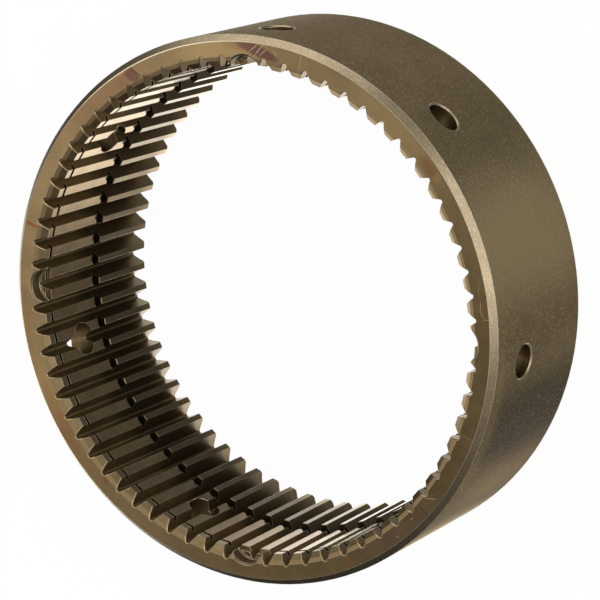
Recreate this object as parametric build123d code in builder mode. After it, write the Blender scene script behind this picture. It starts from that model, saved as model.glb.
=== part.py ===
from build123d import *

import os
from math import acos, cos, pi, radians, sin, sqrt, tan

# Internal ring gear: one turned, shaped and drilled steel ring.
# Millimetres. The axis is Z, the rear face lies on Z = 0 and the splined front face is on top.

# ---- gear teeth ----
tooth_count = 68
module = 3.5
pressure_angle = 20.0        # degrees
profile_shift = 0.75         # outward shift of the tooth form, in modules
tooth_turn = 0.25            # degrees from the notch on +X to the tooth space beside its middle
addendum = 1.0 * module
dedendum = 1.25 * module
root_rounding = 0.1 * module   # how far the rounded root reaches up the flanks

# ---- ring ----
width = 92.5                 # rear face to front face
rim_wall = 10.0              # tooth root to outside diameter
front_outer_chamfer = 3.0
rear_outer_chamfer = 3.0

# ---- front half of the teeth, cut back as a spline seat ----
front_tip_cut = 2.5          # how much further out the front tips are than the full tips
lead_in_flat_width = 2.0     # shallow cone next to the front face, radial
lead_in_flat_depth = 1.0     # and axial
lead_in_steep_width = 2.65   # steeper cone that ends on the front tips, radial
lead_in_steep_depth = 2.2    # and axial

# ---- ring grooves turned in the tooth tips ----
ring_groove_depth = 2.2      # below the front tips
front_groove_start = 7.3     # from the front face
front_groove_width = 1.8
rear_groove_start = 46.5     # from the front face
rear_groove_width = 2.3
rear_tip_chamfer = 1.5       # rear ends of the full-depth tips

# ---- radial oil holes ----
oil_hole_count = 7
oil_hole_diameter = 16.5
oil_hole_from_front = 31.2
first_hole_angle = 90.0      # degrees, in line with the notch on +Y
short_gap_teeth = 8          # tooth pitches between the first two holes
long_gap_teeth = 10          # tooth pitches between the others

# ---- half-round notches milled in the front face ----
notch_count = 4
notch_radius = 9.5
notch_depth = 7.6
notch_root_step = 0.3        # how far the notch wall lies outside the tooth root
notch_mouth_chamfer = 0.9
notch_floor_chamfer = 0.8    # corner between the wall and the floor

# ---- radii that follow ----
reference_radius = tooth_count * module / 2
base_radius = reference_radius * cos(radians(pressure_angle))
full_tip_radius = reference_radius + profile_shift * module - addendum
root_radius = reference_radius + profile_shift * module + dedendum
outer_radius = root_radius + rim_wall
front_tip_radius = full_tip_radius + front_tip_cut
groove_floor_radius = front_tip_radius + ring_groove_depth
lead_in_corner_radius = front_tip_radius + lead_in_steep_width
lead_in_mouth_radius = lead_in_corner_radius + lead_in_flat_width
notch_centre_radius = root_radius + notch_root_step - notch_radius
tooth_pitch = 360 / tooth_count
cut_past = 1.0               # how far a cutting shape runs past the metal


def involute(angle):
    """Involute function of a pressure angle in radians."""
    return tan(angle) - angle


def space_half_angle(radius):
    """Half the angle that a tooth space takes at a radius, in radians."""
    alpha = radians(pressure_angle)
    half_tooth_at_reference = (pi / 2 - 2 * profile_shift * tan(alpha)) / tooth_count
    alpha_here = acos(base_radius / radius)
    half_tooth = half_tooth_at_reference + involute(alpha_here) - involute(alpha)
    return pi / tooth_count - half_tooth


def flank_point(radius, side):
    """Point of the tooth flank at a radius, on the +1 or -1 side of the space's middle line."""
    angle = side * space_half_angle(radius)
    return (radius * cos(angle), radius * sin(angle))


# One tooth space, with its middle line on +X: two involute flanks and a rounded root.
space_mouth_radius = full_tip_radius - cut_past
root_start_radius = root_radius - root_rounding
space_middle_radius = (space_mouth_radius + root_start_radius) / 2
with BuildSketch() as tooth_space:
    with BuildLine():
        Spline(
            flank_point(space_mouth_radius, -1),
            flank_point(space_middle_radius, -1),
            flank_point(root_start_radius, -1),
        )
        ThreePointArc(
            flank_point(root_start_radius, -1),
            (root_radius, 0),
            flank_point(root_start_radius, 1),
        )
        Spline(
            flank_point(root_start_radius, 1),
            flank_point(space_middle_radius, 1),
            flank_point(space_mouth_radius, 1),
        )
        Line(flank_point(space_mouth_radius, 1), flank_point(space_mouth_radius, -1))
    make_face()

with BuildPart() as ring_gear:
    # Turned blank: the section of the ring, with the two tip diameters and both ring grooves.
    front_groove_top = width - front_groove_start
    front_groove_bottom = front_groove_top - front_groove_width
    rear_groove_top = width - rear_groove_start
    rear_groove_bottom = rear_groove_top - rear_groove_width
    lead_in_corner_height = width - lead_in_flat_depth
    lead_in_foot_height = lead_in_corner_height - lead_in_steep_depth
    with BuildSketch(Plane.XZ):
        with BuildLine():
            Polyline(
                (full_tip_radius + rear_tip_chamfer, 0),
                (outer_radius - rear_outer_chamfer, 0),
                (outer_radius, rear_outer_chamfer),
                (outer_radius, width - front_outer_chamfer),
                (outer_radius - front_outer_chamfer, width),
                (lead_in_mouth_radius, width),
                (lead_in_corner_radius, lead_in_corner_height),
                (front_tip_radius, lead_in_foot_height),
                (front_tip_radius, front_groove_top),
                (groove_floor_radius, front_groove_top),
                (groove_floor_radius, front_groove_bottom),
                (front_tip_radius, front_groove_bottom),
                (front_tip_radius, rear_groove_top),
                (groove_floor_radius, rear_groove_top),
                (groove_floor_radius, rear_groove_bottom),
                (full_tip_radius, rear_groove_bottom),
                (full_tip_radius, rear_tip_chamfer),
                close=True,
            )
        make_face()
    revolve(axis=Axis.Z)

    # Half-round notches: a milled pocket with a bevelled floor corner and a broken edge.
    notch_floor_height = width - notch_depth
    for notch in range(notch_count):
        notch_angle = radians(360 / notch_count * notch)
        notch_centre = (notch_centre_radius * cos(notch_angle), notch_centre_radius * sin(notch_angle))
        notch_plane = Plane(
            origin=(notch_centre[0], notch_centre[1], notch_floor_height),
            x_dir=(cos(notch_angle), sin(notch_angle), 0),
            z_dir=(sin(notch_angle), -cos(notch_angle), 0),
        )
        with BuildSketch(notch_plane) as notch_section:
            with BuildLine():
                Polyline(
                    (0, 0),
                    (notch_radius, 0),
                    (notch_radius, notch_depth - notch_mouth_chamfer),
                    (notch_radius + notch_mouth_chamfer + cut_past, notch_depth + cut_past),
                    (0, notch_depth + cut_past),
                    close=True,
                )
            make_face()
            floor_corner = notch_section.vertices().group_by(Axis.Y)[0].sort_by(Axis.X)[-1]
            chamfer(floor_corner, notch_floor_chamfer)
        revolve(axis=Axis(notch_plane.origin, (0, 0, 1)), mode=Mode.SUBTRACT)

    # Radial oil holes, each centred on a tooth space.
    # They are cut past the tips, which lie further in beside the hole's middle than at it.
    hole_length = outer_radius - full_tip_radius + oil_hole_diameter / 2
    for hole in range(oil_hole_count):
        gap_teeth = 0 if hole == 0 else short_gap_teeth + long_gap_teeth * (hole - 1)
        hole_angle = radians(first_hole_angle - gap_teeth * tooth_pitch)
        outward = (cos(hole_angle), sin(hole_angle), 0)
        hole_plane = Plane(
            origin=(
                outer_radius * outward[0],
                outer_radius * outward[1],
                width - oil_hole_from_front,
            ),
            z_dir=outward,
        )
        with BuildSketch(hole_plane):
            Circle(oil_hole_diameter / 2)
        extrude(amount=-hole_length, mode=Mode.SUBTRACT)

    # Internal teeth: the spaces between them are shaped through the whole width.
    with BuildSketch(Plane.XY):
        with PolarLocations(0, tooth_count, start_angle=tooth_turn):
            add(tooth_space.sketch)
    extrude(amount=width, mode=Mode.SUBTRACT)

os.makedirs("parts", exist_ok=True)
ring_gear.part.label = "ring_gear"
export_step(ring_gear.part, "parts/ring_gear.step")
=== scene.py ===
import math

import bmesh
import bpy
from mathutils import Matrix, Vector


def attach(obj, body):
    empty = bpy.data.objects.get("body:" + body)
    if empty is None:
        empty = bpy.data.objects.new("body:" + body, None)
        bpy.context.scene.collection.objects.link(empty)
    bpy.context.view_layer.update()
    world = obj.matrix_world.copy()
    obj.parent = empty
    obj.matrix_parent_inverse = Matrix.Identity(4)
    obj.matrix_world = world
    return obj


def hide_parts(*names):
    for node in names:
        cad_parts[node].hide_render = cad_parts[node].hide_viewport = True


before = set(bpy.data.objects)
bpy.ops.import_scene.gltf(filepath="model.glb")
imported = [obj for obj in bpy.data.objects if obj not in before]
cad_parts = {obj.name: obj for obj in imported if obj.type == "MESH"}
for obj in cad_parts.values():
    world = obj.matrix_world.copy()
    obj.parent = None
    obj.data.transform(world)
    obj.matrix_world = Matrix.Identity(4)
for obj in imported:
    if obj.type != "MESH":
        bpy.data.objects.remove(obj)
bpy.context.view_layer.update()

bl_info = {
    "name": "Internal Ring Gear",
    "version": (1, 0, 0),
    "blender": (4, 5, 0),
    "location": "3D View > Sidebar > Ring Gear",
    "description": "Used steel ring gear with internal teeth, on a pale floor",
    "category": "Object",
}

MM = 0.001

# The gear as it is drawn: millimetres from its axis and from its rear face.
WIDTH = 92.5
OUTER_RADIUS = 136.0
CHAMFER = 3.0
FRONT_TIP_RADIUS = 120.625
FULL_TIP_RADIUS = 118.125
GROOVE_FLOOR_RADIUS = 122.825
LEAD_IN_CORNER = (123.275, 91.5)
CONE_FOOT = 89.3
FRONT_GROOVE_LOWER_SIDE = 83.4
ROOT_RADIUS = 126.0
TOOTH_COUNT = 68
FULL_TIP_TOP = 43.7
HOLE_HEIGHT = 61.3
HOLE_RADIUS = 8.25
# The holes lie one short gap and then only long gaps apart, counted in teeth.
FIRST_HOLE_ANGLE = 90.0
SHORT_GAP = 8
LONG_GAP = 10
HOLE_ANGLES = [FIRST_HOLE_ANGLE] + [
    FIRST_HOLE_ANGLE - 360 / TOOTH_COUNT * (SHORT_GAP + LONG_GAP * step) for step in range(6)
]
NOTCH_CENTRE_RADIUS = 116.8
NOTCH_RADIUS = 9.5
NOTCH_FLOOR = 84.9
NOTCH_ANGLES = (0.0, 90.0, 180.0, 270.0)
# Angles are unrolled to millimetres at this radius, near the middle of the front face.
UNROLL_RADIUS = 130.0
# Share of the light that the paper on the floor gives back.
PAPER_LEVEL = 0.95

# Sides of the ring, as angles: of a painted highlight on the chamfer's edge, of a painted
# highlight on the lead-in cone, and of the faces' painted light, with painted shade across from it.
CHAMFER_HIGHLIGHT_SIDE = 42.0
CONE_HIGHLIGHT_SIDE = 33.0
FACE_LIT_SIDE = 145.0

# Stains on the front face: angle, radius, half length, half width, lean, softness, ragged,
# colour, share. Angles are in degrees from the notch on +X, sizes in millimetres.
FACE_STAINS = (
    (50.0, 129.5, 30.0, 6.0, 0.0, 0.7, 3.0, "#A08A64", 0.3),
    (97.0, 129.5, 20.0, 6.0, 0.0, 0.7, 3.0, "#B89C70", 0.35),
    (204.0, 129.5, 18.0, 6.0, 0.0, 0.7, 3.0, "#A88C62", 0.4),
    (39.2, 129.2, 6.2, 2.6, 0.0, 0.6, 2.0, "#664228", 0.5),
    (36.4, 129.8, 2.2, 2.0, 0.0, 0.4, 0.6, "#8E7248", 0.4),
    (86.6, 129.5, 12.0, 2.7, 15.0, 0.3, 1.2, "#583A38", 0.8),
    (92.0, 131.0, 6.0, 2.0, 10.0, 0.8, 1.6, "#7A5648", 0.4),
    (130.0, 129.5, 26.0, 6.0, 0.0, 0.6, 4.0, "#7E5E46", 0.4),
    (122.4, 129.2, 5.0, 4.6, -32.0, 0.8, 1.6, "#7C5844", 0.45),
    (119.6, 128.8, 2.9, 5.4, -32.0, 0.3, 0.8, "#583C3C", 0.7),
    (118.2, 128.7, 0.5, 4.8, -32.0, 0.6, 0.3, "#443034", 0.5),
    (121.8, 132.3, 3.4, 0.9, 0.0, 0.8, 1.0, "#A88450", 0.4),
    (112.0, 132.85, 52.0, 0.3, 0.0, 0.5, 0.3, "#F2E6CC", 0.9),
    (213.0, 129.5, 26.0, 4.0, 0.0, 0.6, 5.0, "#74502F", 0.4),
    (188.0, 131.0, 20.0, 2.0, 0.0, 0.6, 4.0, "#7C5A36", 0.35),
    (165.9, 129.0, 0.9, 4.4, 5.0, 0.5, 0.6, "#7A4826", 0.85),
    (228.6, 126.2, 4.5, 1.6, 20.0, 0.5, 1.5, "#6A4428", 0.6),
    (297.0, 129.0, 1.4, 4.6, 4.0, 0.5, 1.0, "#6A4C2C", 0.6),
    (309.0, 129.5, 22.0, 4.6, 0.0, 0.4, 2.0, "#5C4A40", 0.45),
    (320.0, 129.5, 0.4, 4.4, 0.0, 0.6, 0.4, "#40342A", 0.7),
    (323.3, 128.6, 0.25, 3.4, -42.0, 0.6, 0.3, "#B8A68A", 0.4),
    (7.6, 131.2, 3.4, 1.8, 0.0, 0.7, 0.6, "#6A4A2C", 0.4),
    (8.6, 129.3, 2.4, 0.28, 8.0, 0.6, 0.2, "#A08E6C", 0.5),
    (6.8, 129.6, 2.0, 0.28, -18.0, 0.6, 0.2, "#A08E6C", 0.5),
    (5.8, 131.4, 0.28, 1.3, 0.0, 0.6, 0.2, "#A08E6C", 0.5),
    (12.2, 129.7, 4.5, 0.25, 12.0, 0.8, 0.3, "#A08E6C", 0.25),
    (10.5, 132.7, 0.5, 0.4, 0.0, 0.4, 0.2, "#2C241A", 0.8),
    (340.0, 129.5, 0.2, 3.4, 4.0, 0.6, 0.3, "#9C8A6C", 0.35),
    (76.0, 129.5, 0.2, 3.4, -3.0, 0.6, 0.3, "#C8B694", 0.3),
    (311.0, 130.6, 0.6, 0.5, 0.0, 0.5, 0.4, "#9C8A6C", 0.5),
    (316.5, 128.4, 0.7, 0.5, 0.0, 0.5, 0.4, "#9C8A6C", 0.5),
    (87.5, 130.5, 0.16, 2.9, 49.0, 0.6, 0.2, "#D8C8AC", 0.6),
    (86.3, 129.5, 0.16, 3.4, 38.0, 0.6, 0.2, "#D8C8AC", 0.6),
    (85.1, 129.0, 0.14, 2.6, 44.0, 0.6, 0.2, "#D8C8AC", 0.5),
    (82.2, 129.6, 0.14, 1.6, -42.0, 0.6, 0.2, "#D8C8AC", 0.4),
)

# Painted highlights and painted shade on the outside: brighter and darker clouds that stand in
# for its reflections. Angle, height, half length, half width, softness, ragged, brightness, share.
OUTSIDE_PAINTED_LIGHT = (
    (20.0, 46.0, 28.0, 90.0, 0.7, 12.0, 2.0, 0.75),
    (341.0, 46.0, 20.0, 90.0, 0.6, 10.0, 0.36, 0.9),
    (323.0, 34.0, 12.0, 34.0, 0.8, 14.0, 1.7, 0.45),
    (299.0, 46.0, 24.0, 120.0, 0.7, 8.0, 5.0, 0.9),
    (46.0, 46.0, 14.0, 70.0, 0.7, 12.0, 0.8, 0.4),
    (84.0, 46.0, 16.0, 90.0, 0.7, 10.0, 0.7, 0.5),
    (70.0, 3.5, 150.0, 1.2, 0.8, 3.0, 1.6, 0.35),
)

# Places on the outside with more light grains: angle, height, half length, half width, share.
DUSTY_PLACES = (
    (341.0, 85.0, 24.0, 6.0, 0.4),
    (75.0, 46.0, 60.0, 60.0, 0.2),
    (5.0, 86.0, 30.0, 5.0, 0.22),
)
# Half size of a mark across the surface, large enough to reach it anywhere.
ANY_DEPTH = 1000.0


def linear(hex_colour):
    """Turn an sRGB hex colour into the linear colour that Blender works in."""
    values = []
    for place in (1, 3, 5):
        share = int(hex_colour[place : place + 2], 16) / 255
        values.append(share / 12.92 if share <= 0.04045 else ((share + 0.055) / 1.055) ** 2.4)
    return (*values, 1.0)


def direction(azimuth, elevation):
    """Unit vector towards an azimuth from +X and an elevation above the floor, in degrees."""
    turn, lift = math.radians(azimuth), math.radians(elevation)
    across = math.cos(lift)
    return Vector((math.cos(turn) * across, math.sin(turn) * across, math.sin(lift)))


def add_node(tree, kind, inputs=None, **settings):
    """Add one shader node with its settings and inputs.

    An input is a value, or the socket that it is linked from.
    """
    made = tree.nodes.new(kind)
    for name, value in settings.items():
        setattr(made, name, value)
    for name, value in (inputs or {}).items():
        if isinstance(value, bpy.types.NodeSocket):
            tree.links.new(value, made.inputs[name])
        else:
            made.inputs[name].default_value = value
    return made


# ---------------------------------------------------------------- patterns on steel
# Every size here is in millimetres. Real tool marks are 0.05 to 0.2 mm apart, too fine to show
# from the camera, so they are drawn 0.3 to 0.6 mm apart, and the smallest specks 0.6 mm wide.

# Size of the pits in grained steel, and of the waves in a mark's ragged border.
PIT_SIZE = 0.9
RAGGED_WAVE = 2.0
# How much of the height counts in the pattern of the shaper's strokes, which run down the teeth.
STROKE_SHARE = 0.03
# Agreement of the flat and the rounded normal where an edge's lighter line, worn steel and a
# painted highlight, starts and where it is full.
EDGE_LIGHT_START = 0.995
EDGE_LIGHT_FULL = 0.93
# Half width of the border between the finishes of the two cones.
CONE_BORDER = 0.1


def shade(colour, factor):
    """A linear colour made darker or lighter, as a full colour for a socket."""
    return (*(min(1.0, value * factor) for value in colour[:3]), 1.0)


def ring_places(tree):
    """Sockets for a place on the ring: its turn in radians, and the rest in millimetres."""
    coords = add_node(tree, "ShaderNodeTexCoord")
    placed = add_node(
        tree, "ShaderNodeMapping", {"Vector": coords.outputs["Object"], "Scale": (1 / MM,) * 3}
    ).outputs[0]
    parts = add_node(tree, "ShaderNodeSeparateXYZ", {0: placed})
    flat = add_node(
        tree, "ShaderNodeVectorMath", {0: placed, 1: (1.0, 1.0, 0.0)}, operation="MULTIPLY"
    )
    length = add_node(tree, "ShaderNodeVectorMath", {0: flat.outputs[0]}, operation="LENGTH")
    radius = length.outputs["Value"]
    turn = add_node(
        tree, "ShaderNodeMath", {0: parts.outputs["Y"], 1: parts.outputs["X"]}, operation="ARCTAN2"
    ).outputs[0]
    along = add_node(
        tree, "ShaderNodeMath", {0: turn, 1: UNROLL_RADIUS}, operation="MULTIPLY"
    ).outputs[0]
    height = parts.outputs["Z"]
    unrolled = add_node(
        tree, "ShaderNodeCombineXYZ", {"X": along, "Y": radius, "Z": height}
    ).outputs[0]
    return {
        "vector": placed,
        "radius": radius,
        "height": height,
        "turn": turn,
        "unrolled": unrolled,
    }


def towards(tree, place, angle):
    """From 1 on the ring's side at an angle, in degrees, down to 0 on the side across from it."""
    moved = add_node(
        tree, "ShaderNodeMath", {0: place["turn"], 1: math.radians(-angle)}, operation="ADD"
    ).outputs[0]
    side = add_node(tree, "ShaderNodeMath", {0: moved}, operation="COSINE").outputs[0]
    return add_node(
        tree, "ShaderNodeMapRange", {"Value": side, "From Min": -1.0, "From Max": 1.0}
    ).outputs[0]


def clouds(tree, place, size, detail, low=0.35, high=0.65, shift=0.0):
    """Soft patches about as large as size, in millimetres, from 0 to 1."""
    moved = add_node(
        tree, "ShaderNodeMapping", {"Vector": place["vector"], "Location": (shift, shift, shift)}
    )
    noise = add_node(
        tree,
        "ShaderNodeTexNoise",
        {"Vector": moved.outputs[0], "Scale": 1.0 / size, "Detail": detail, "Roughness": 0.6},
    )
    patches = add_node(
        tree,
        "ShaderNodeMapRange",
        {"Value": noise.outputs[0], "From Min": low, "From Max": high},
        interpolation_type="SMOOTHSTEP",
    )
    return patches.outputs[0]


def lay_lines(tree, place, spacing, lay):
    """Fine tool marks, 0 to 1, that lie as the tool went.

    "turned" runs round the axis, "stroked" down the teeth and "drilled" round an oil hole.
    """
    if lay == "turned":
        both = {"X": place["radius"], "Y": place["height"]}
        across = add_node(tree, "ShaderNodeCombineXYZ", both).outputs[0]
    elif lay == "drilled":
        across = add_node(tree, "ShaderNodeCombineXYZ", {"X": place["radius"]}).outputs[0]
    else:
        across = add_node(
            tree,
            "ShaderNodeVectorMath",
            {0: place["vector"], 1: (1.0, 1.0, STROKE_SHARE)},
            operation="MULTIPLY",
        ).outputs[0]
    lines = add_node(
        tree,
        "ShaderNodeTexNoise",
        {"Vector": across, "Scale": 1.0 / spacing, "Detail": 2.0, "Roughness": 0.7},
    )
    return lines.outputs[0]


def mark(tree, place, where, half_size, lean, softness, ragged):
    """One oval mark, 1 inside it, with a soft and ragged border.

    It lies at an angle in degrees, a radius and a height in millimetres.
    """
    angle, radius, height = where
    noise = add_node(
        tree,
        "ShaderNodeTexNoise",
        {"Vector": place["vector"], "Scale": 1.0 / RAGGED_WAVE, "Detail": 3.0},
    )
    shove = add_node(
        tree,
        "ShaderNodeVectorMath",
        {0: noise.outputs["Color"], 1: (-0.5, -0.5, -0.5)},
        operation="ADD",
    )
    spot = add_node(
        tree,
        "ShaderNodeVectorMath",
        {0: shove.outputs[0], 1: (ragged, ragged, ragged), 2: place["unrolled"]},
        operation="MULTIPLY_ADD",
    ).outputs[0]
    local = add_node(
        tree,
        "ShaderNodeMapping",
        {
            "Vector": spot,
            "Location": (math.radians((angle + 180) % 360 - 180) * UNROLL_RADIUS, radius, height),
            "Rotation": (0.0, 0.0, math.radians(lean)),
            "Scale": half_size,
        },
        vector_type="TEXTURE",
    )
    away = add_node(tree, "ShaderNodeVectorMath", {0: local.outputs[0]}, operation="LENGTH")
    inside = add_node(
        tree,
        "ShaderNodeMapRange",
        {"Value": away.outputs["Value"], "From Min": 1.0 + softness, "From Max": 1.0 - softness},
        interpolation_type="SMOOTHSTEP",
    )
    return inside.outputs[0]


def edge_mask_and_rounding(tree, width):
    """Two sockets: 1 on the corners where faces meet, and the normal rounded over them."""
    rounded = add_node(tree, "ShaderNodeBevel", {"Radius": width}, samples=8)
    flat = add_node(tree, "ShaderNodeNewGeometry")
    same = add_node(
        tree,
        "ShaderNodeVectorMath",
        {0: rounded.outputs[0], 1: flat.outputs["Normal"]},
        operation="DOT_PRODUCT",
    )
    edge = add_node(
        tree,
        "ShaderNodeMapRange",
        {"Value": same.outputs["Value"], "From Min": EDGE_LIGHT_START, "From Max": EDGE_LIGHT_FULL},
    )
    return edge.outputs[0], rounded.outputs[0]


def coated(tree, colour, coats):
    """Lay coats over a colour: each has a colour, a pattern that is 1 on it, and a strength."""
    for coat, where, strength in coats:
        share = add_node(
            tree, "ShaderNodeMath", {0: where, 1: strength}, operation="MULTIPLY"
        ).outputs[0]
        colour = add_node(
            tree, "ShaderNodeMix", {0: share, 6: colour, 7: coat}, data_type="RGBA"
        ).outputs[2]
    return colour


def steel(
    name,
    lay,
    spacing,
    depth,
    roughness,
    edge_break,
    metal=1.0,
    anisotropy=0.0,
    grain=0.0,
):
    """Start a steel with its tool marks and rounded corners; its caller adds the colours."""
    material = bpy.data.materials.new(name)
    material.use_nodes = True
    tree = material.node_tree
    tree.nodes.clear()
    place = ring_places(tree)
    lines = lay_lines(tree, place, spacing, lay)
    edge, rounded = edge_mask_and_rounding(tree, edge_break)
    normal = add_node(
        tree, "ShaderNodeBump", {"Distance": depth * MM, "Height": lines, "Normal": rounded}
    ).outputs[0]
    if grain:
        pits = clouds(tree, place, PIT_SIZE, detail=2.0, low=0.2, high=0.8, shift=31.0)
        normal = add_node(
            tree, "ShaderNodeBump", {"Distance": grain * MM, "Height": pits, "Normal": normal}
        ).outputs[0]
    shader = add_node(
        tree,
        "ShaderNodeBsdfPrincipled",
        {"Metallic": metal, "Roughness": roughness, "Anisotropic": anisotropy, "Normal": normal},
    )
    if anisotropy:
        tangent = add_node(tree, "ShaderNodeTangent", direction_type="RADIAL", axis="Z")
        tree.links.new(tangent.outputs[0], shader.inputs["Tangent"])
    add_node(tree, "ShaderNodeOutputMaterial", {"Surface": shader.outputs[0]})
    made = {"material": material, "tree": tree, "shader": shader}
    made.update({"place": place, "edge": edge, "lines": lines})
    return made


def mottle(made, colour, patch, speck, light, speckled, dark=0.78):
    """Colour of a used surface: soft darker patches under small lighter specks, sizes in mm."""
    tree, place = made["tree"], made["place"]
    patches = clouds(tree, place, patch, detail=4.0)
    streaks = clouds(tree, place, patch / 6, detail=4.0, low=0.42, high=0.75, shift=17.0)
    specks = clouds(tree, place, speck, detail=2.0, low=0.56, high=0.72, shift=5.0)
    coats = (
        (shade(colour, dark), patches, 1.0),
        (shade(colour, dark), streaks, 0.45),
        (shade(colour, light), specks, speckled),
    )
    return coated(tree, shade(colour, 1.0), coats)


def finish_steel(made, colour, edge_wear_and_highlight_colour, edge_share):
    """Lighten the edges, as worn steel and as a painted highlight, and hand the colour to the
    shader.
    """
    tree = made["tree"]
    final = coated(tree, colour, [(shade(edge_wear_and_highlight_colour, 1.0), made["edge"], edge_share)])
    tree.links.new(final, made["shader"].inputs["Base Color"])
    return made["material"]


def outside_steel(look):
    """Finish of the outside, turned and then browned by old oil."""
    # The dried oil skin scatters light: the steel looks matte and clouded, without a mirror line
    # round the ring, and shows light specks where its high points are rubbed bare.
    made = steel(
        "steel_turned_oil_browned",
        lay="turned",
        spacing=0.5,
        depth=0.01,
        roughness=0.55,
        metal=0.7,
        edge_break=look.edge_break,
        grain=0.03,
    )
    tree, place = made["tree"], made["place"]
    made["shader"].inputs["Specular Tint"].default_value = linear("#8A7C64")
    made["shader"].inputs["Specular IOR Level"].default_value = 0.25
    colour = mottle(made, look.outside_colour, patch=30.0, speck=1.2, light=2.6, speckled=0.6)
    coats = []
    # These clouds are painted highlights and painted shade that stand in for the reflections.
    for angle, height, length, width, softness, ragged, factor, strength in OUTSIDE_PAINTED_LIGHT:
        spot = (angle, OUTER_RADIUS, height)
        half_size = (length, ANY_DEPTH, width)
        shape = mark(tree, place, spot, half_size, lean=0.0, softness=softness, ragged=ragged)
        coats.append((shade(look.outside_colour, factor), shape, strength))
    dust = clouds(tree, place, 0.8, detail=2.0, low=0.55, high=0.7, shift=43.0)
    coats.append((shade(look.outside_colour, 3.4), dust, 0.42))
    grains = clouds(tree, place, 0.9, detail=2.0, low=0.42, high=0.6, shift=57.0)
    for angle, height, length, width, strength in DUSTY_PLACES:
        spot = (angle, OUTER_RADIUS, height)
        half_size = (length, ANY_DEPTH, width)
        shape = mark(tree, place, spot, half_size, lean=0.0, softness=0.8, ragged=6.0)
        dusty = add_node(
            tree, "ShaderNodeMath", {0: grains, 1: shape}, operation="MULTIPLY"
        ).outputs[0]
        coats.append((linear("#A8946E"), dusty, strength))
    colour = coated(tree, colour, coats)
    return finish_steel(made, colour, look.edge_wear_and_highlight_colour, 0.6)


def chamfer_steel(look):
    """Finish of the outer chamfers, turned last."""
    # Fine turning leaves a satin, slightly directional shine. Knocks and dust leave light and
    # dark grains on it.
    made = steel(
        "steel_fine_turned",
        lay="turned",
        spacing=0.35,
        depth=0.008,
        roughness=0.3,
        anisotropy=0.4,
        edge_break=look.edge_break,
        grain=0.014,
    )
    colour = mottle(
        made, look.chamfer_colour, patch=22.0, dark=0.8, speck=0.7, light=1.8, speckled=0.7
    )
    tree, place = made["tree"], made["place"]
    grains = clouds(tree, place, 0.8, detail=2.0, low=0.4, high=0.62, shift=61.0)
    colour = coated(tree, colour, [(shade(look.chamfer_colour, 0.6), grains, 0.55)])
    # On one side only, the chamfer's edge is a pale, less metallic line: a painted highlight.
    lit_side = add_node(
        tree,
        "ShaderNodeMapRange",
        {"Value": towards(tree, place, CHAMFER_HIGHLIGHT_SIDE), "From Min": 0.6, "From Max": 0.85},
    ).outputs[0]
    chamfer_highlight_line = add_node(
        tree, "ShaderNodeMath", {0: lit_side, 1: made["edge"]}, operation="MULTIPLY"
    ).outputs[0]
    metal = add_node(tree, "ShaderNodeMapRange", {"Value": chamfer_highlight_line, "To Min": 1.0, "To Max": 0.2})
    tree.links.new(metal.outputs[0], made["shader"].inputs["Metallic"])
    return finish_steel(made, colour, look.edge_wear_and_highlight_colour, 0.9)


def cone_steel(look):
    """Finish of the lead-in cones, turned, with a painted highlight on one side."""
    # The turned cone is a satin brown mirror. On one side of the steep cone, a pale and less
    # metallic patch is a painted highlight.
    made = steel(
        "steel_turned_highlight",
        lay="turned",
        spacing=0.35,
        depth=0.012,
        roughness=0.34,
        anisotropy=0.3,
        edge_break=look.edge_break,
        grain=0.012,
    )
    tree, place = made["tree"], made["place"]
    colour = mottle(
        made, look.cone_colour, patch=12.0, dark=0.75, speck=0.6, light=1.8, speckled=0.3
    )
    # This side mask places the painted highlight on the steep cone.
    side = add_node(
        tree,
        "ShaderNodeMapRange",
        {"Value": towards(tree, place, CONE_HIGHLIGHT_SIDE), "From Min": 0.66, "From Max": 0.92},
        interpolation_type="SMOOTHSTEP",
    ).outputs[0]
    corner_height = LEAD_IN_CORNER[1]
    shallow = add_node(
        tree,
        "ShaderNodeMapRange",
        {
            "Value": place["height"],
            "From Min": corner_height - CONE_BORDER,
            "From Max": corner_height + CONE_BORDER,
        },
        interpolation_type="SMOOTHSTEP",
    ).outputs[0]
    steep = add_node(tree, "ShaderNodeMath", {0: 1.0, 1: shallow}, operation="SUBTRACT").outputs[0]
    cone_painted_highlight = add_node(tree, "ShaderNodeMath", {0: side, 1: steep}, operation="MULTIPLY").outputs[0]
    coats = (
        (shade(look.face_colour, 1.35), shallow, 0.7),
        (shade(look.cone_highlight_colour, 1.0), cone_painted_highlight, 0.95),
    )
    colour = coated(tree, colour, coats)
    metal = add_node(tree, "ShaderNodeMapRange", {"Value": cone_painted_highlight, "To Min": 1.0, "To Max": 0.25})
    tree.links.new(metal.outputs[0], made["shader"].inputs["Metallic"])
    return finish_steel(made, colour, look.edge_wear_and_highlight_colour, 0.4)


def face_steel(look):
    """Finish of the front and rear faces, turned flat and then tanned by heat and oil."""
    # A thin oxide over a fine turned face gives a satin tan, painted lighter towards one side and
    # browner across from it: painted light and painted shade. Old rust shows orange on it and
    # overheated oil purple-brown, with sharp borders where something lay against the face.
    made = steel(
        "steel_faced_tanned",
        lay="turned",
        spacing=0.35,
        depth=0.008,
        roughness=0.3,
        anisotropy=0.3,
        edge_break=look.edge_break,
        grain=0.01,
    )
    tree, place = made["tree"], made["place"]
    lit_tan = mottle(made, look.face_colour, patch=18.0, dark=0.8, speck=0.8, light=1.5, speckled=0.4)
    shaded_brown = mottle(
        made, look.face_shaded_colour, patch=12.0, dark=0.76, speck=0.9, light=1.6, speckled=0.35
    )
    # Lighter towards one side and browner across from it: painted light and painted shade.
    coats = [(lit_tan, towards(tree, place, FACE_LIT_SIDE), 1.0)]
    for angle, radius, length, width, lean, softness, ragged, stain, strength in FACE_STAINS:
        spot = (angle, radius, WIDTH)
        shape = mark(tree, place, spot, (length, width, ANY_DEPTH), lean, softness, ragged)
        coats.append((linear(stain), shape, strength))
    return finish_steel(made, coated(tree, shaded_brown, coats), look.edge_wear_and_highlight_colour, 0.6)


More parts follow.
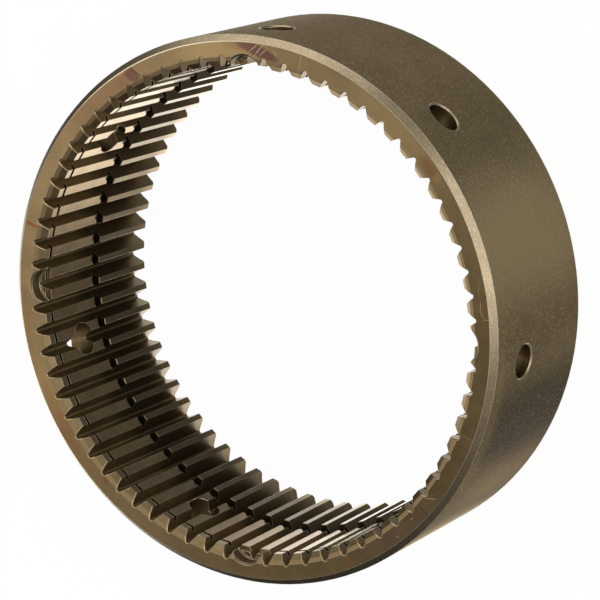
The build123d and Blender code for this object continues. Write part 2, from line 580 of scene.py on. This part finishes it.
def tip_steel(look):
    """Finish of the tooth tips, bored smooth."""
    # Boring leaves the smoothest steel of the ring: the tips mirror the room at a low angle. The
    # rear half is darker, a painted shade, and lighter again near its rear end.
    made = steel(
        "steel_bored_smooth",
        lay="turned",
        spacing=0.4,
        depth=0.004,
        roughness=0.2,
        anisotropy=0.2,
        edge_break=look.edge_break * 0.8,
    )
    tree, place = made["tree"], made["place"]
    front = mottle(made, look.tip_colour, patch=9.0, dark=0.8, speck=1.0, light=1.4, speckled=0.2)
    # Painted shade: the rear half of the tips is darker.
    shaded_tip_colour = shade(look.tip_colour, 0.56)
    rear = mottle(made, shaded_tip_colour, patch=9.0, dark=0.8, speck=1.0, light=1.4, speckled=0.2)
    in_front = add_node(
        tree,
        "ShaderNodeMapRange",
        {"Value": place["height"], "From Min": FULL_TIP_TOP - 1.7, "From Max": FULL_TIP_TOP + 2.3},
        interpolation_type="SMOOTHSTEP",
    ).outputs[0]
    rear_end = add_node(
        tree,
        "ShaderNodeMapRange",
        {"Value": place["height"], "From Min": 16.0, "From Max": 2.0},
        interpolation_type="SMOOTHSTEP",
    ).outputs[0]
    coats = ((front, in_front, 1.0), (shade(look.tip_colour, 1.1), rear_end, 0.8))
    return finish_steel(made, coated(tree, rear, coats), look.edge_wear_and_highlight_colour, 0.25)


def flank_steel(look):
    """Finish of the tooth flanks and roots, cut by a shaper and worn in oil."""
    # The shaper's strokes run down the teeth and draw the shine out lengthwise. Oil makes them
    # dark brown, and they are darker over the rear half and lighter towards both ends.
    made = steel(
        "steel_shaped_oiled",
        lay="stroked",
        spacing=0.3,
        depth=0.01,
        roughness=0.38,
        metal=0.9,
        edge_break=look.edge_break,
    )
    tree, height = made["tree"], made["place"]["height"]
    light_brown = shade(look.flank_colour, 1.3)
    lighter_finish = mottle(made, light_brown, patch=14.0, speck=1.2, light=1.3, speckled=0.3)
    behind = add_node(
        tree,
        "ShaderNodeMapRange",
        {"Value": height, "From Min": FULL_TIP_TOP + 18.0, "From Max": FULL_TIP_TOP},
        interpolation_type="SMOOTHSTEP",
    ).outputs[0]
    inside = add_node(
        tree,
        "ShaderNodeMapRange",
        {"Value": height, "From Min": 2.0, "From Max": 18.0},
        interpolation_type="SMOOTHSTEP",
    ).outputs[0]
    darker_band = add_node(tree, "ShaderNodeMath", {0: behind, 1: inside}, operation="MULTIPLY").outputs[0]
    colour = coated(tree, lighter_finish, [(shade(look.flank_colour, 0.52), darker_band, 0.9)])
    return finish_steel(made, colour, look.edge_wear_and_highlight_colour, 0.25)


def notch_steel(look):
    """Finish of the half-round notches, milled and left with old oil in them."""
    # The end mill's feed lines make them dull. The corners are lighter, as worn steel and as a
    # painted highlight.
    made = steel(
        "steel_milled_oiled",
        lay="turned",
        spacing=0.5,
        depth=0.02,
        roughness=0.48,
        metal=0.85,
        edge_break=look.edge_break,
    )
    colour = mottle(made, look.notch_colour, patch=8.0, speck=1.2, light=1.6, speckled=0.35)
    return finish_steel(made, colour, look.edge_wear_and_highlight_colour, 0.9)


def hole_steel(look):
    """Finish of the oil holes, drilled and never worn."""
    # The drill leaves rings that catch the light as golden lines, with dark oil in between.
    made = steel(
        "steel_drilled_golden",
        lay="drilled",
        spacing=0.6,
        depth=0.03,
        roughness=0.4,
        edge_break=look.edge_break,
    )
    tree = made["tree"]
    colour = mottle(made, look.hole_colour, patch=6.0, speck=1.2, light=1.4, speckled=0.3)
    rings = add_node(
        tree,
        "ShaderNodeMapRange",
        {"Value": made["lines"], "From Min": 0.45, "From Max": 0.62},
        interpolation_type="SMOOTHSTEP",
    ).outputs[0]
    colour = coated(tree, colour, [(shade(look.hole_colour, 1.9), rings, 0.6)])
    return finish_steel(made, colour, look.edge_wear_and_highlight_colour, 0.8)


def groove_steel(look):
    """Finish of the ring grooves, turned with a narrow tool."""
    # The grooves are painted near black: painted shade in the narrow grooves.
    made = steel(
        "steel_grooved_painted_shade",
        lay="turned",
        spacing=0.4,
        depth=0.02,
        roughness=0.45,
        metal=0.9,
        edge_break=0.0002,
    )
    colour = mottle(made, look.groove_shade_colour, patch=8.0, speck=1.2, light=1.4, speckled=0.3)
    return finish_steel(made, colour, look.edge_wear_and_highlight_colour, 0.15)


# ---------------------------------------------------------------- the gear

UP = Vector((0, 0, 1))
# Corners sharper than this are chamfered or stay sharp, and rounder ones are smoothed.
SHARP_ANGLE = math.radians(20)
# Facets that lie within this angle of each other are one flat or round surface.
FLAT_ANGLE = math.radians(0.2)
# Corner points that lie closer than this, in millimetres, are one point.
MERGE_DISTANCE = 0.002

# Limits that tell one surface of the gear from another. First distances, in millimetres: how near
# a face lies to its drawn place along the axis, and how far a facet's middle lies off a round one.
NEAR = 0.1
OUTSIDE_SLACK = 0.5
BORE_SLACK = 0.3
# The faces of a notch lie between its wall and its broken edge, and outside an inner radius.
NOTCH_WALL = 8.6
NOTCH_REACH = 10.7
NOTCH_INNER_RADIUS = FRONT_TIP_RADIUS - 1
# The cones lie within this of the front face.
CONE_REACH = 4
# Then shares of the face's normal: along the axis, outwards, and towards the middle of a notch.
FLAT_UP = 0.99
SLANTED_UP = 0.3
STRAIGHT_OUT = 0.95
SLANTED_OUT = 0.5
STRAIGHT_IN = -0.97
ACROSS_HOLE = 0.3
NOTCH_WALL_IN = 0.6

# Limits for edges. How near both ends lie to where the edge is drawn, in millimetres: on the
# outside, on the tips, at the corner of the cones, round holes and mouths, and along the axis.
OUTSIDE_NEAR = 0.12
TIP_NEAR = 0.06
CORNER_NEAR = 0.15
MOUTH_NEAR = 0.05
HEIGHT_NEAR = 0.02
# How far the normals of a flank and of the face at its mouth point up.
FLANK_UP = 0.1
MOUTH_UP = 0.5


def from_hole_axis(point, along):
    """How far a point lies from the axis of the oil hole that runs in a direction, in mm."""
    return math.hypot(point.dot(along.cross(UP)), point.z - HOLE_HEIGHT)


def surface_of(centre, normal):
    """Name of the finish that a face has, from its middle in millimetres and its normal."""
    radius = math.hypot(centre.x, centre.y)
    outward = (normal.x * centre.x + normal.y * centre.y) / radius
    flat = abs(normal.z) > FLAT_UP
    in_notch = False
    for angle in NOTCH_ANGLES:
        middle = direction(angle, 0) * NOTCH_CENTRE_RADIUS
        reach = math.hypot(centre.x - middle.x, centre.y - middle.y)
        if reach >= NOTCH_REACH:
            continue
        in_notch = True
        if centre.z > NOTCH_FLOOR - NEAR and radius > NOTCH_INNER_RADIUS:
            inward = normal.x * (middle.x - centre.x) + normal.y * (middle.y - centre.y)
            on_wall = inward / reach > NOTCH_WALL_IN and reach > NOTCH_WALL
            if flat and centre.z < NOTCH_FLOOR + NEAR or on_wall:
                return "notch"
    for angle in HOLE_ANGLES:
        along = direction(angle, 0)
        inside = centre.dot(along) > 0 and from_hole_axis(centre, along) < HOLE_RADIUS + NEAR
        if inside and abs(normal.dot(along)) < ACROSS_HOLE:
            return "hole"
    if outward > STRAIGHT_OUT and radius > OUTER_RADIUS - OUTSIDE_SLACK:
        return "outside"
    if outward > SLANTED_OUT and radius > OUTER_RADIUS - CHAMFER - OUTSIDE_SLACK:
        return "chamfer"
    if flat and (centre.z > WIDTH - NEAR or centre.z < NEAR):
        return "face"
    if flat:
        # The front groove's lower side lies open and lit under a notch, and has no painted shade
        # there.
        lighter_finish = in_notch and abs(centre.z - FRONT_GROOVE_LOWER_SIDE) < NEAR
        return "flank" if lighter_finish else "groove"
    if normal.z > SLANTED_UP and centre.z > WIDTH - CONE_REACH:
        return "cone"
    on_tip = radius < FRONT_TIP_RADIUS + BORE_SLACK and outward < STRAIGHT_IN
    if outward < -SLANTED_OUT and (abs(normal.z) > SLANTED_UP or on_tip):
        return "tip"
    if outward < STRAIGHT_IN and radius < GROOVE_FLOOR_RADIUS + BORE_SLACK:
        return "groove"
    return "flank"


def at_hole_mouth(point):
    """Whether a point, in millimetres, lies on the outside at the edge of an oil hole."""
    if abs(math.hypot(point.x, point.y) - OUTER_RADIUS) > OUTSIDE_NEAR:
        return False
    for angle in HOLE_ANGLES:
        along = direction(angle, 0)
        off_rim = abs(from_hole_axis(point, along) - HOLE_RADIUS)
        if point.dot(along) > 0 and off_rim < MOUTH_NEAR:
            return True
    return False


def on_hole_mouth(edge):
    """Whether an edge lies where an oil hole breaks through the outside."""
    return all(at_hole_mouth(v.co / MM) for v in edge.verts)


def on_full_tip_front(edge):
    """Whether an edge lies at the front end of a full-depth tooth tip."""
    points = [v.co / MM for v in edge.verts]
    return all(
        abs(math.hypot(p.x, p.y) - FULL_TIP_RADIUS) < TIP_NEAR
        and abs(p.z - FULL_TIP_TOP) < HEIGHT_NEAR
        for p in points
    )


def on_space_mouth(edge):
    """Whether an edge lies where a tooth space opens into the cones or the front face."""
    heights = [v.co.z / MM for v in edge.verts]
    if len(edge.link_faces) != 2:
        return False
    if min(heights) < CONE_FOOT - MOUTH_NEAR or max(heights) < CONE_FOOT + MOUTH_NEAR:
        return False
    if max(math.hypot(v.co.x, v.co.y) for v in edge.verts) / MM > ROOT_RADIUS + MOUTH_NEAR:
        return False
    for angle in NOTCH_ANGLES:
        middle = direction(angle, 0) * NOTCH_CENTRE_RADIUS
        reaches = [(v.co / MM - middle).to_2d().length for v in edge.verts]
        if all(abs(reach - NOTCH_RADIUS) < NEAR for reach in reaches):
            return False
    lifts = sorted(face.normal.z for face in edge.link_faces)
    return abs(lifts[0]) < FLANK_UP and lifts[1] > MOUTH_UP


def bevel_edges(mesh, test, width):
    """In edit mode, chamfer the edges that pass a test."""
    bpy.ops.mesh.select_all(action="DESELECT")
    bpy.context.tool_settings.mesh_select_mode = (False, True, False)
    shape = bmesh.from_edit_mesh(mesh)
    found = 0
    for edge in shape.edges:
        if edge.calc_face_angle(0.0) > SHARP_ANGLE and test(edge):
            edge.select_set(True)
            found += 1
    bmesh.update_edit_mesh(mesh)
    if not found:
        raise RuntimeError("no edges were found to chamfer")
    bpy.ops.mesh.bevel(
        offset=width,
        offset_type="OFFSET",
        segments=1,
        affect="EDGES",
        clamp_overlap=False,
        loop_slide=False,
    )


def finish_colour(name, hex_colour, description):
    """A colour that the sidebar shows and a finish starts from."""
    return bpy.props.FloatVectorProperty(
        name=name,
        description=description,
        default=linear(hex_colour)[:3],
        size=3,
        min=0.0,
        max=1.0,
        subtype="COLOR",
    )


class RingGearLook(bpy.types.PropertyGroup):
    """Sizes and colours of the gear's finish."""

    edge_break: bpy.props.FloatProperty(
        name="Edge break",
        description="Width of the small rounding on corners",
        default=0.00045,
        min=0.0,
        unit="LENGTH",
        precision=5,
    )
    hole_chamfer: bpy.props.FloatProperty(
        name="Hole chamfer",
        description="Width of the broken edge at the mouth of each oil hole",
        default=0.0006,
        min=0.0001,
        max=0.001,
        unit="LENGTH",
        precision=5,
    )
    tip_chamfer: bpy.props.FloatProperty(
        name="Tip chamfer",
        description="Width of the broken edge at the front end of the full-depth tips",
        default=0.0003,
        min=0.0001,
        max=0.001,
        unit="LENGTH",
        precision=5,
    )
    space_chamfer: bpy.props.FloatProperty(
        name="Tooth space chamfer",
        description="Width of the broken edge round the front end of each tooth space",
        default=0.00035,
        min=0.0001,
        max=0.0006,
        unit="LENGTH",
        precision=5,
    )
    outside_colour: finish_colour("Outside", "#706650", "Oil-browned outside")
    chamfer_colour: finish_colour("Chamfers", "#928570", "Turned outer chamfers")
    cone_colour: finish_colour("Lead-in cones", "#7A6A50", "Turned cones in front of the teeth")
    face_colour: finish_colour("Faces", "#8A7556", "Tan of the faced ends")
    # The browner side of the faces is painted shade.
    face_shaded_colour: finish_colour("Faces, dark side", "#5C4F37", "Browner side of the faced ends")
    tip_colour: finish_colour("Tooth tips", "#8F7C60", "Bored tooth tips")
    flank_colour: finish_colour("Tooth flanks", "#746345", "Oiled flanks and roots")
    notch_colour: finish_colour("Notches", "#6C5D43", "Milled notches")
    hole_colour: finish_colour("Oil holes", "#66573E", "Drilled oil holes")
    # Near black: the painted shade in the grooves.
    groove_shade_colour: finish_colour("Ring grooves", "#2C251C", "Oily ring grooves")
    # The pale colour of the painted highlight on the lead-in cones.
    cone_highlight_colour: finish_colour("Cone highlight", "#F0D9B0", "Dry, rubbed side of the lead-in cones")
    # Lighter edges: bright worn steel and a painted highlight.
    edge_wear_and_highlight_colour: finish_colour("Worn and highlit edges", "#F0E4CA", "Bright steel on worn edges")


class StageLook(bpy.types.PropertyGroup):
    """Floor, light and camera."""

    floor_colour: bpy.props.FloatVectorProperty(
        name="Floor colour",
        description="Colour of the pale floor",
        default=(PAPER_LEVEL,) * 3,
        size=3,
        min=0.0,
        max=1.0,
        subtype="COLOR",
    )
    floor_size: bpy.props.FloatProperty(
        name="Floor size",
        description="Side of the square floor",
        default=8.0,
        min=1.0,
        unit="LENGTH",
    )
    light_level: bpy.props.FloatProperty(
        name="Light level", description="Brightness of the light tent", default=1.0, min=0.0
    )
    focal_length: bpy.props.FloatProperty(
        name="Focal length",
        description="Lens of the camera on a 36 mm sensor, in millimetres",
        default=171.042,
        min=10.0,
    )


class RINGGEAR_OT_ring(bpy.types.Operator):
    """Dress the ring gear: smooth its round faces and give each surface its finish"""

    bl_idname = "ringgear.ring"
    bl_label = "Ring Gear"

    def execute(self, context):
        look = context.scene.ring_gear_look
        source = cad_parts["ring_gear"]
        mesh = source.data.copy()
        mesh.name = "toothed_ring"
        mesh.materials.clear()
        ring = bpy.data.objects.new("toothed_ring", mesh)
        context.scene.collection.objects.link(ring)
        bpy.ops.object.select_all(action="DESELECT")
        ring.select_set(True)
        context.view_layer.objects.active = ring

        bpy.ops.mesh.customdata_custom_splitnormals_clear()
        bpy.ops.object.mode_set(mode="EDIT")
        bpy.ops.mesh.select_all(action="SELECT")
        bpy.ops.mesh.remove_doubles(threshold=MERGE_DISTANCE * MM)
        bpy.ops.mesh.dissolve_limited(angle_limit=FLAT_ANGLE)
        bevel_edges(mesh, on_hole_mouth, look.hole_chamfer)
        bevel_edges(mesh, on_full_tip_front, look.tip_chamfer)
        bevel_edges(mesh, on_space_mouth, look.space_chamfer)
        bpy.ops.object.mode_set(mode="OBJECT")
        bpy.ops.object.shade_smooth_by_angle(angle=SHARP_ANGLE)

        finishes = {
            "outside": outside_steel(look),
            "chamfer": chamfer_steel(look),
            "cone": cone_steel(look),
            "face": face_steel(look),
            "tip": tip_steel(look),
            "flank": flank_steel(look),
            "notch": notch_steel(look),
            "hole": hole_steel(look),
            "groove": groove_steel(look),
        }
        order = list(finishes)
        for name in order:
            mesh.materials.append(finishes[name])
        for face in mesh.polygons:
            face.material_index = order.index(surface_of(face.center / MM, face.normal))

        # The corner between the two lead-in cones is too flat for the angle limit, and still sharp.
        corner_radius, corner_height = LEAD_IN_CORNER
        shape = bmesh.new()
        shape.from_mesh(mesh)
        for edge in shape.edges:
            ends = [(math.hypot(v.co.x, v.co.y) / MM, v.co.z / MM) for v in edge.verts]
            if all(
                abs(radius - corner_radius) < CORNER_NEAR
                and abs(height - corner_height) < HEIGHT_NEAR
                for radius, height in ends
            ):
                edge.smooth = False
        # The chamfers' rounding errors are kept below the front face.
        for vertex in shape.verts:
            vertex.co.z = min(vertex.co.z, WIDTH * MM)
        shape.to_mesh(mesh)
        shape.free()

        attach(ring, "root")
        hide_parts("ring_gear")
        return {"FINISHED"}


# ---------------------------------------------------------------- the stage

# Soft panels of the light tent: name, azimuth, elevation, full to, none from, light added. All
# angles are in degrees, and the light fades from full to none between the third and the fourth.
PANELS = (
    ("high panel", 108, 5, 14, 36, 2.0),
    ("front panel", 18, 24, 12, 34, 2.25),
    ("side panel", 183, 54, 5, 18, 0.8),
    ("low side panel", 205, 8, 12, 34, 0.5),
)
# The pale backdrop that the steel shows below the floor, written as a panel. It ends in a soft
# border between two elevations.
BACKDROP = ("pale backdrop", 222, -56, 28, 58, 2.9)
BACKDROP_BORDER = (-28, -38)
# Darker sides of the room: the last number is the share of the light that is left there.
DARK_SIDES = (
    ("table side", 252, -13, 20, 46, 0.18),
    ("dark left side", 166, -14, 14, 34, 0.4),
    ("dark floor side", 70, -55, 40, 82, 0.62),
    ("corner of the room", 288, 32, 16, 38, 0.25),
)
# Light from the whole tent, more light from its upper part, and the heights of the gaze, from -1
# straight down to 1 straight up, between which it grows.
TENT_LEVEL = 0.4
UPPER_LEVEL = 0.4
UPPER_FROM, UPPER_FULL = -0.3, 0.6
# The tent's light is a little warm.
TENT_TINT = (1.0, 0.97, 0.9, 1.0)
WHITE = linear("#FFFFFF")

# How much of the floor the camera sees as pure white; the rest keeps a trace of the shadow.
WHITE_SHARE = 0.975
# The floor lies this far under the gear, in metres, so that the two never share a plane.
FLOOR_DROP = 0.0002

# The camera's place in metres, its right and up directions, and the shift of its lens.
CAMERA_PLACE = (0.70364, 0.31962, 1.23583)
CAMERA_RIGHT = (0.86200, 0.00118, -0.50690)
CAMERA_UP = (-0.11594, 0.97395, -0.19489)
CAMERA_SHIFT = (-0.00083, 0.00083)
CAMERA_CLIP_START = 0.05
SENSOR_WIDTH = 36.0


class RINGGEAR_OT_stage(bpy.types.Operator):
    """Add the pale floor, the soft light tent and the camera"""

    bl_idname = "ringgear.stage"
    bl_label = "Stage"

    def execute(self, context):
        look = context.scene.ring_gear_stage
        scene = context.scene
        scene.view_settings.view_transform = "Standard"
        self.add_floor(look)
        self.add_tent(scene, look)
        self.add_camera(scene, look)
        return {"FINISHED"}

    def add_floor(self, look):
        """White paper under the gear, which the camera sees with only a trace of the shadow."""
        bpy.ops.object.select_all(action="DESELECT")
        bpy.ops.mesh.primitive_plane_add(size=look.floor_size, location=(0, 0, -FLOOR_DROP))
        floor = bpy.context.object
        floor.name = "pale_floor"
        bpy.ops.object.transform_apply(location=True, rotation=True, scale=True)
        material = bpy.data.materials.new("matte_white_paper")
        material.use_nodes = True
        tree = material.node_tree
        tree.nodes.clear()
        paper = add_node(tree, "ShaderNodeBsdfDiffuse", {"Color": (*look.floor_colour, 1.0)})
        white = add_node(tree, "ShaderNodeEmission", {"Color": WHITE, "Strength": 1.0})
        clear = add_node(tree, "ShaderNodeBsdfTransparent")
        rays = add_node(tree, "ShaderNodeLightPath")
        lifted = add_node(
            tree,
            "ShaderNodeMath",
            {0: rays.outputs["Is Camera Ray"], 1: WHITE_SHARE},
            operation="MULTIPLY",
        )
        seen = add_node(
            tree,
            "ShaderNodeMixShader",
            {0: lifted.outputs[0], 1: paper.outputs[0], 2: white.outputs[0]},
        )
        # Steel that mirrors downwards has to show the pale backdrop of the tent and not the
        # shaded paper just below it, so the paper is clear to such rays.
        mirrored = add_node(
            tree,
            "ShaderNodeMath",
            {0: rays.outputs["Is Glossy Ray"], 1: rays.outputs["Is Transmission Ray"]},
            operation="MAXIMUM",
        )
        both = add_node(
            tree,
            "ShaderNodeMixShader",
            {0: mirrored.outputs[0], 1: seen.outputs[0], 2: clear.outputs[0]},
        )
        add_node(tree, "ShaderNodeOutputMaterial", {"Surface": both.outputs[0]})
        floor.data.materials.append(material)

    def add_tent(self, scene, look):
        """Soft light from all sides, with brighter panels and darker sides.

        The camera sees plain white instead of it.
        """
        world = bpy.data.worlds.new("light_tent")
        scene.world = world
        world.use_nodes = True
        tree = world.node_tree
        tree.nodes.clear()
        coords = add_node(tree, "ShaderNodeTexCoord")
        gaze = coords.outputs["Generated"]
        parts = add_node(tree, "ShaderNodeSeparateXYZ", {0: gaze})
        level = add_node(
            tree,
            "ShaderNodeMapRange",
            {
                "Value": parts.outputs["Z"],
                "From Min": UPPER_FROM,
                "From Max": UPPER_FULL,
                "To Min": TENT_LEVEL,
                "To Max": TENT_LEVEL + UPPER_LEVEL,
            },
        ).outputs[0]
        backdrop = self.add_lobe(tree, gaze, BACKDROP)
        start, end = (math.sin(math.radians(elevation)) for elevation in BACKDROP_BORDER)
        below = add_node(
            tree,
            "ShaderNodeMapRange",
            {"Value": parts.outputs["Z"], "From Min": start, "From Max": end},
            interpolation_type="SMOOTHSTEP",
        ).outputs[0]
        backdrop = add_node(
            tree, "ShaderNodeMath", {0: backdrop, 1: below}, operation="MULTIPLY"
        ).outputs[0]
        level = add_node(
            tree, "ShaderNodeMath", {0: level, 1: backdrop}, operation="ADD"
        ).outputs[0]
        for panel in PANELS:
            lobe = self.add_lobe(tree, gaze, panel)
            level = add_node(
                tree, "ShaderNodeMath", {0: level, 1: lobe}, operation="ADD"
            ).outputs[0]
        for side in DARK_SIDES:
            lobe = self.add_lobe(tree, gaze, side, rest=1.0)
            level = add_node(
                tree, "ShaderNodeMath", {0: level, 1: lobe}, operation="MULTIPLY"
            ).outputs[0]
        level = add_node(
            tree, "ShaderNodeMath", {0: level, 1: look.light_level}, operation="MULTIPLY"
        ).outputs[0]
        tent = add_node(tree, "ShaderNodeBackground", {"Color": TENT_TINT, "Strength": level})
        white = add_node(tree, "ShaderNodeBackground", {"Color": WHITE, "Strength": 1.0})
        rays = add_node(tree, "ShaderNodeLightPath")
        shown = add_node(
            tree,
            "ShaderNodeMixShader",
            {0: rays.outputs["Is Camera Ray"], 1: tent.outputs[0], 2: white.outputs[0]},
        )
        add_node(tree, "ShaderNodeOutputWorld", {"Surface": shown.outputs[0]})

    def add_lobe(self, tree, gaze, lobe, rest=0.0):
        """A soft round patch of the tent: its value inside, and rest outside it."""
        name, azimuth, elevation, full, none, value = lobe
        near = add_node(
            tree,
            "ShaderNodeVectorMath",
            {0: gaze, 1: direction(azimuth, elevation)},
            operation="DOT_PRODUCT",
            label=name,
        )
        patch = add_node(
            tree,
            "ShaderNodeMapRange",
            {
                "Value": near.outputs["Value"],
                "From Min": math.cos(math.radians(none)),
                "From Max": math.cos(math.radians(full)),
                "To Min": rest,
                "To Max": value,
            },
            interpolation_type="SMOOTHSTEP",
        )
        return patch.outputs[0]

    def add_camera(self, scene, look):
        """Camera above the toothed front face, off to one side and rolled to the left."""
        data = bpy.data.cameras.new("camera")
        data.lens = look.focal_length
        data.sensor_width = SENSOR_WIDTH
        data.shift_x, data.shift_y = CAMERA_SHIFT
        data.clip_start = CAMERA_CLIP_START
        camera = bpy.data.objects.new("camera", data)
        scene.collection.objects.link(camera)
        right = Vector(CAMERA_RIGHT)
        up = Vector(CAMERA_UP)
        back = right.cross(up).normalized()
        up = back.cross(right).normalized()
        camera.matrix_world = Matrix.Translation(CAMERA_PLACE) @ Matrix(
            (
                (right.x, up.x, back.x, 0),
                (right.y, up.y, back.y, 0),
                (right.z, up.z, back.z, 0),
                (0, 0, 0, 1),
            )
        )
        scene.camera = camera


class RINGGEAR_PT_sidebar(bpy.types.Panel):
    """Lists the gear's pieces and the stage"""

    bl_label = "Ring Gear"
    bl_idname = "RINGGEAR_PT_sidebar"
    bl_space_type = "VIEW_3D"
    bl_region_type = "UI"
    bl_category = "Ring Gear"

    def draw(self, context):
        scene = context.scene
        pieces = (
            (scene.ring_gear_look, "ringgear.ring"),
            (scene.ring_gear_stage, "ringgear.stage"),
        )
        for group, operator in pieces:
            box = self.layout.box()
            for name in group.__annotations__:
                box.prop(group, name)
            box.operator(operator)


CLASSES = (RingGearLook, StageLook, RINGGEAR_OT_ring, RINGGEAR_OT_stage, RINGGEAR_PT_sidebar)


def register():
    for cls in CLASSES:
        bpy.utils.register_class(cls)
    bpy.types.Scene.ring_gear_look = bpy.props.PointerProperty(type=RingGearLook)
    bpy.types.Scene.ring_gear_stage = bpy.props.PointerProperty(type=StageLook)


def unregister():
    del bpy.types.Scene.ring_gear_stage
    del bpy.types.Scene.ring_gear_look
    for cls in reversed(CLASSES):
        bpy.utils.unregister_class(cls)


def main():
    register()
    bpy.ops.ringgear.ring()
    bpy.ops.ringgear.stage()


if __name__ == "__main__":
    main()
